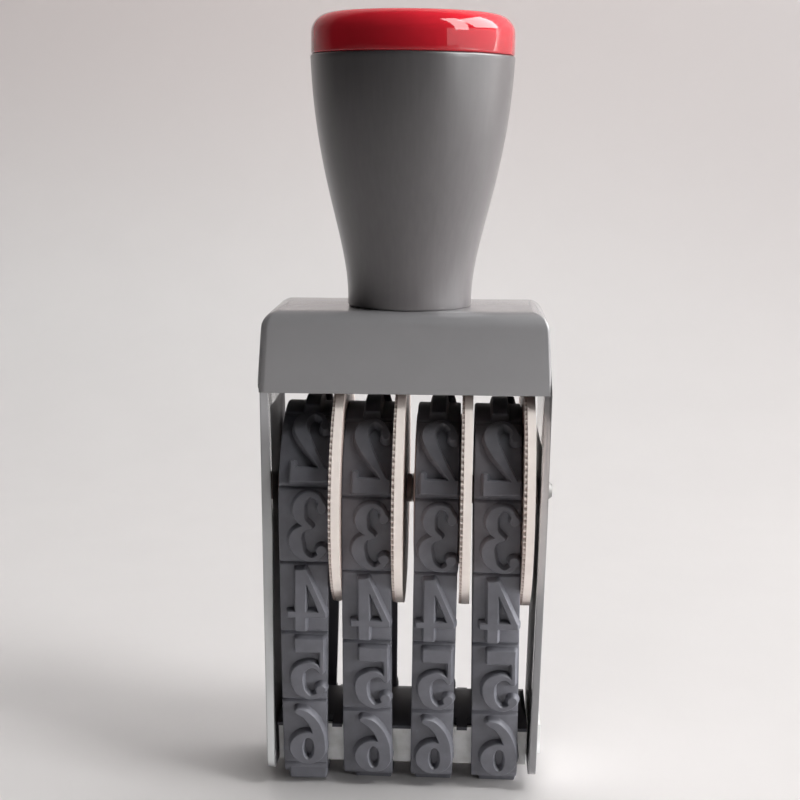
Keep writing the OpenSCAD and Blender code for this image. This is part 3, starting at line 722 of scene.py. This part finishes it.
SEAT = 0.02
HOOD_SINK = 0.45
HANDLE_BASE = span("frame")[1].z + SEAT
HANDLE_TOP = span("handle")[1].z
HANDLE_HEIGHT = HANDLE_TOP - HANDLE_BASE
WAIST_R = 9.3
WAIST_PULL = 9.8
SHOULDER_R = 14.3
SHOULDER_PULL = 18.4
FOOT_SINK = HOOD_SINK + 0.1
RIM_R = span("handle")[1].x
WELL_R = 5.2
FLOOR_THICK = 5.0
SCREW_HOLE_R = 2.25
FOOT_ROUND = 0.4
RIM_ROUND = 0.35
PLUG_R = 10.6
PLUG_LENGTH = 3.6
PLUG_ROOM = 0.6
PLUG_GAP = 0.05
PLUG_BEVEL = 0.2
CAP_BASE = HANDLE_TOP + SEAT
CAP_TOP = span("handle_cap")[1].z
CAP_R = span("handle_cap")[1].x
CAP_ROUND = 2.8
CAP_DOME = 130.0
LIP_ROUND = 0.3
# radius of the small hole left on the axis
AXIS_R = 0.001


def handle_side(t):
    """Cubic curve of the handle's side, as (radius, height over the hood)."""
    pull = [(WAIST_R, FOOT_ROUND), (WAIST_R, WAIST_PULL), (SHOULDER_R, HANDLE_HEIGHT - SHOULDER_PULL),
            (RIM_R, HANDLE_HEIGHT)]
    weight = [(1 - t) ** 3, 3 * t * (1 - t) ** 2, 3 * t * t * (1 - t), t ** 3]
    return tuple(sum(w * p[k] for w, p in zip(weight, pull)) for k in (0, 1))


def handle_profile():
    """Outline of the handle from its foot up its side and down its well."""
    side = [handle_side(t) for t in np.linspace(0, 1, 61)]
    side = [(r, z) for r, z in side if FOOT_ROUND + 0.3 < z < HANDLE_HEIGHT - 2 * RIM_ROUND]
    foot = arc(WAIST_R - FOOT_ROUND, FOOT_ROUND - FOOT_SINK, FOOT_ROUND, -90, 0, 5)
    rim = arc(RIM_R - RIM_ROUND, HANDLE_HEIGHT - RIM_ROUND, RIM_ROUND, 5, 90, 6)
    plug_floor = HANDLE_HEIGHT - PLUG_LENGTH - PLUG_ROOM
    mouth_r = PLUG_R + PLUG_GAP
    well = [(mouth_r, HANDLE_HEIGHT), (mouth_r, plug_floor), (WELL_R, plug_floor), (WELL_R, FLOOR_THICK),
            (SCREW_HOLE_R, FLOOR_THICK), (SCREW_HOLE_R, -FOOT_SINK)]
    return [(r, HANDLE_BASE + z) for r, z in foot + side + rim + well]


def dome_z(r):
    """Height of the cap's dome at a radius."""
    return CAP_TOP - CAP_DOME + math.sqrt(CAP_DOME ** 2 - r ** 2)


def cap_profile():
    """Outline of the cap from under its plug, out to its edge and over its dome."""
    plug_end = CAP_BASE - PLUG_LENGTH
    plug = [(AXIS_R, plug_end), (PLUG_R - PLUG_BEVEL, plug_end), (PLUG_R, plug_end + PLUG_BEVEL), (PLUG_R, CAP_BASE)]
    lip = arc(CAP_R - LIP_ROUND, CAP_BASE + LIP_ROUND, LIP_ROUND, -90, 0, 4)
    top_r = CAP_R - CAP_ROUND
    shoulder = arc(top_r, dome_z(top_r) - CAP_ROUND, CAP_ROUND, 0, 84, 16)
    dome = [(r, dome_z(r)) for r in np.linspace(top_r - 0.6, AXIS_R, 12)]
    return plug + lip + shoulder + dome


lathe("handle_turned", handle_profile(), grip, "handle")
lathe("handle_cap_domed", cap_profile(), red, "handle_cap")


# pieces that keep their CAD solids

HOOD_HEIGHT = 12.0
SKIRT_Z = span("frame")[1].z - HOOD_HEIGHT
# the hood's skirt takes up its moves over this height, and its roof is drawn in from this far below its top
SKIRT_BLEND = 2.0
ROOF_BLEND = 5.0
# distances from the middle between which the flare sets in
FLARE_BETWEEN = (12.0, 18.0)
HOOD_TILT = 0.15
HOOD_SIDESTEP = -0.3
SKIRT_FLARE = 0.45
ROOF_DRAW = 0.35
SHEET = 1.1
LEG_DEPTH = 20.0
HOOD_DEPTH = 22.0
HOOD_ROUND = 2.5
# radii of the upright corners on the left and on the right
HOOD_CORNERS = (1.2, 0.45)
# share of the hood's sideways moves that the tops of the legs don't follow
LEG_HOLD = 0.75
# how much further in the left leg's inner face lies, at (height, distance) pairs
LEG_SWELL = [(5.0, 0.0), (40.9, 0.42), (SKIRT_Z, 0.1)]
# x between which that face's swell ends towards the middle
SWELL_END = (-13.0, -12.0)


def hood_group():
    """Sets the hood as photographed: a little low, tilted and to the left, with tight corners and a flared skirt."""
    group, start, end = geometry_group("hood_as_photographed")
    high = span("frame")[1]
    math_node = partial(link_math, group)

    def ramp(value, stops):
        """Straight lines through (position, value) pairs."""
        total = stops[0][1]
        for (p0, v0), (p1, v1) in zip(stops[:-1], stops[1:]):
            total = math_node("ADD", map_range(group, value, p0, p1, 0.0, v1 - v0), total)
        return total

    place = group.nodes.new("GeometryNodeInputPosition").outputs["Position"]
    x, y, z = (math_node("DIVIDE", part, MM) for part in split_xyz(group, place))
    far_x, far_y = math_node("ABSOLUTE", x), math_node("ABSOLUTE", y)

    # sideways: the flare of the skirt, the draw of the roof and a step to the left
    in_hood = ramp(z, [(AXLE_Z, 0.0), (SKIRT_Z, 1.0)])
    side = math_node("MULTIPLY", math_node("SIGN", x), map_range(group, far_x, *FLARE_BETWEEN))
    flare = ramp(z, [(AXLE_Z, 0.0), (SKIRT_Z, SKIRT_FLARE), (high.z - ROOF_BLEND, 0.0), (high.z, -ROOF_DRAW)])
    step = math_node("ADD", math_node("MULTIPLY", side, flare), math_node("MULTIPLY", in_hood, HOOD_SIDESTEP))

    # corners: points on their arcs are pushed out
    in_skirt = ramp(z, [(SKIRT_Z - SKIRT_BLEND, 0.0), (SKIRT_Z, 1.0)])
    past = [ramp(away, [(end_at - HOOD_ROUND, 0.0), (end_at, HOOD_ROUND)])
            for away, end_at in ((far_x, high.x), (far_y, HOOD_DEPTH / 2))]
    reach = math_node("SQRT", math_node("ADD", *(math_node("MULTIPLY", p, p) for p in past)))
    sharper = ramp(x, list(zip((-1.0, 1.0), (1 - corner / HOOD_ROUND for corner in HOOD_CORNERS))))
    pushes = []
    for axis, p in zip((x, y), past):
        push = math_node("MULTIPLY", math_node("SUBTRACT", reach, p), sharper)
        pushes.append(math_node("MULTIPLY", math_node("MULTIPLY", push, in_skirt), math_node("SIGN", axis)))

    # legs: their tops hold back, and the left one swells inside
    leg_top = LEG_HOLD
    for value, near, within in ((far_x, high.x, SHEET + 0.1), (far_y, LEG_DEPTH / 2, 0.05), (z, SKIRT_Z, 0.1)):
        close = math_node("LESS_THAN", math_node("ABSOLUTE", math_node("SUBTRACT", value, near)), within)
        leg_top = math_node("MULTIPLY", close, leg_top)
    step = math_node("MULTIPLY", math_node("ADD", step, pushes[0]), math_node("SUBTRACT", 1.0, leg_top))
    inner_x = SHEET - high.x
    inside = ramp(x, [(inner_x - 0.2, 0.0), (inner_x - 0.1, 1.0), (SWELL_END[0], 1.0), (SWELL_END[1], 0.0)])
    step = math_node("ADD", step, math_node("MULTIPLY", inside, ramp(z, LEG_SWELL)))

    sink = math_node("SUBTRACT", math_node("MULTIPLY", x, HOOD_TILT / high.x), HOOD_SINK)
    sink = math_node("MULTIPLY", sink, in_skirt)
    offset = group.nodes.new("ShaderNodeCombineXYZ")
    for axis, distance in zip("XYZ", (step, pushes[1], sink)):
        group.links.new(math_node("MULTIPLY", distance, MM), offset.inputs[axis])
    move = group.nodes.new("GeometryNodeSetPosition")
    group.links.new(start.outputs["Geometry"], move.inputs["Geometry"])
    group.links.new(offset.outputs["Vector"], move.inputs["Offset"])
    group.links.new(move.outputs["Geometry"], end.inputs["Geometry"])
    return group


dress("frame", paint, bend=hood_group())
dress("platen_bar", metal, bevel=0.15)
dress("band_comb", black, bevel=0.2)
for name in ("axle", "handle_screw", "handle_washer", "lock_washer", "hex_nut"):
    dress(name, steel, bevel=0.08)
for name in ("spacer_left", "spacer_mid", "spacer_right"):
    dress(name, cream)
for i in range(BAND_COUNT):
    dress("number_wheel_%d" % (i + 1), cream)


# stage, in metres

FLOOR_TONE = (0.68, 0.66, 0.653)
# (start, end) of the backdrop's painted shade, along its length from the front and across it
TOP_ALONG = (0.3, 0.53)
CORNER_ALONG = (0.02, 0.5)
CORNER_ACROSS = (-0.06, 0.2)


def sweep():
    """Pale floor that bends up into a backdrop."""
    half_width, front, bend_start, bend_r, top = 1.6, -0.9, 0.16, 0.2, 1.3
    profile = [(front, 0.0)]
    profile += [(bend_start + bend_r * math.sin(a), bend_r * (1 - math.cos(a)))
                for a in np.linspace(0, math.pi / 2, 24)]
    profile += [(bend_start + bend_r, top)]
    verts = [(x, y, z) for y, z in profile for x in (-half_width, half_width)]
    faces = [(2 * k, 2 * k + 1, 2 * k + 3, 2 * k + 2) for k in range(len(profile) - 1)]
    mesh = bpy.data.meshes.new("floor")
    mesh.from_pydata(verts, [], faces)
    mesh.materials.append(make_material("pale_floor", FLOOR_TONE, 0.75, spread=0.01, grain=60, specular=0.2))
    mesh.polygons.foreach_set("use_smooth", [True] * len(mesh.polygons))
    floor = bpy.data.objects.new("floor", mesh)
    scene.collection.objects.link(floor)
    return floor


def paint_backdrop_light(material, top=(0.565, 0.517, 0.508), corner=(0.47, 0.44, 0.435), bounce=(0.85, 0.83, 0.825)):
    """Paints shade on the backdrop: darker and pinker towards its top and its upper right corner.

    Diffuse rays meet a paler floor, so that the floor lights the stamp more than its own tone would."""

    def change(nt, color):
        x, y, z = split_xyz(nt, nt.nodes.new("ShaderNodeTexCoord").outputs["Object"])
        along = link_math(nt, "ADD", y, z)
        # painted shade: darker and pinker towards the top and the upper right corner
        color = mix_tone(nt, map_range(nt, along, *TOP_ALONG, smooth=True), color, top)
        in_corner = link_math(nt, "MULTIPLY", map_range(nt, x, *CORNER_ACROSS, smooth=True),
                              map_range(nt, along, *CORNER_ALONG, smooth=True))
        color = mix_tone(nt, in_corner, color, corner)
        rays = nt.nodes.new("ShaderNodeLightPath")
        return mix_tone(nt, rays.outputs["Is Diffuse Ray"], color, bounce)

    repaint(material, change)


# painted shade on the backdrop, and a paler floor for diffuse rays
paint_backdrop_light(sweep().data.materials[0])


# lights, in degrees, metres and watts

LIGHT_TARGET = Vector((0, 0, 0.05))


def area(name, azimuth, elevation, distance, width, height, power, mirrored=False):
    """Soft light seen from its target at an azimuth, 0 in front and 90 to the right, and an elevation.

    One that is mirrored shows only in reflections, any other only in matt shading."""
    az, el = math.radians(azimuth), math.radians(elevation)
    offset = Vector((math.cos(el) * math.sin(az), -math.cos(el) * math.cos(az), math.sin(el))) * distance
    light = bpy.data.lights.new(name, "AREA")
    light.shape = "RECTANGLE"
    light.size = width
    light.size_y = height
    light.energy = power
    obj = bpy.data.objects.new(name, light)
    obj.location = LIGHT_TARGET + offset
    obj.rotation_euler = (-offset).to_track_quat("-Z", "Y").to_euler()
    obj.visible_glossy = mirrored
    obj.visible_diffuse = not mirrored
    scene.collection.objects.link(obj)


def room(tone):
    """A pale room past the floor, which the camera sees and which lights nothing."""
    world = bpy.data.worlds.new("room")
    scene.world = world
    world.use_nodes = True
    nt = world.node_tree
    background = nt.nodes["Background"]
    background.inputs["Color"].default_value = (*tone, 1)
    rays = nt.nodes.new("ShaderNodeLightPath")
    nt.links.new(rays.outputs["Is Camera Ray"], background.inputs["Strength"])


area("window_front", 65, 5, 1.2, 0.42, 0.25, 5.5)
area("window_side", 83, 5, 1.2, 0.38, 0.25, 8.0)
area("window_back", 100, 5, 1.2, 0.38, 0.25, 11)
area("sky", 65, 54, 1.2, 0.3, 0.35, 5.6)
area("top", 60, 80, 1.0, 0.5, 0.5, 1.2)
area("top_back", 175, 75, 0.8, 0.5, 0.5, 1.6)
area("pane_near", 57, 33, 0.9, 0.28, 0.8, 7.0, mirrored=True)
area("pane_far", 99, 35, 0.9, 0.8, 0.6, 15, mirrored=True)
area("sill", 82, 4, 1.2, 2.2, 0.34, 4.0, mirrored=True)
room(FLOOR_TONE)


# camera

PHOTO_SIZE = 800
FOCAL_PX = 1538.0
camera_pitch, camera_yaw, camera_roll = (math.radians(a) for a in (9.822, 2.325, 0.713))
camera_place = Vector((8.15, -231.9, 99.27)) * MM


def photo_camera():
    """Camera fitted to the photograph's edges."""
    forward = Vector((-math.sin(camera_yaw) * math.cos(camera_pitch), math.cos(camera_yaw) * math.cos(camera_pitch),
                      -math.sin(camera_pitch)))
    level_right = Vector((math.cos(camera_yaw), math.sin(camera_yaw), 0))
    level_up = level_right.cross(forward)
    right = level_right * math.cos(camera_roll) + level_up * math.sin(camera_roll)
    up = level_up * math.cos(camera_roll) - level_right * math.sin(camera_roll)
    data = bpy.data.cameras.new("camera")
    data.sensor_width = 36
    data.lens = FOCAL_PX / PHOTO_SIZE * data.sensor_width
    data.clip_start = 0.01
    data.clip_end = 10
    camera = bpy.data.objects.new("camera", data)
    camera.matrix_world = Matrix.Translation(camera_place) @ Matrix((right, up, -forward)).transposed().to_4x4()
    scene.collection.objects.link(camera)
    scene.camera = camera


photo_camera()
scene.view_settings.view_transform = "Standard"
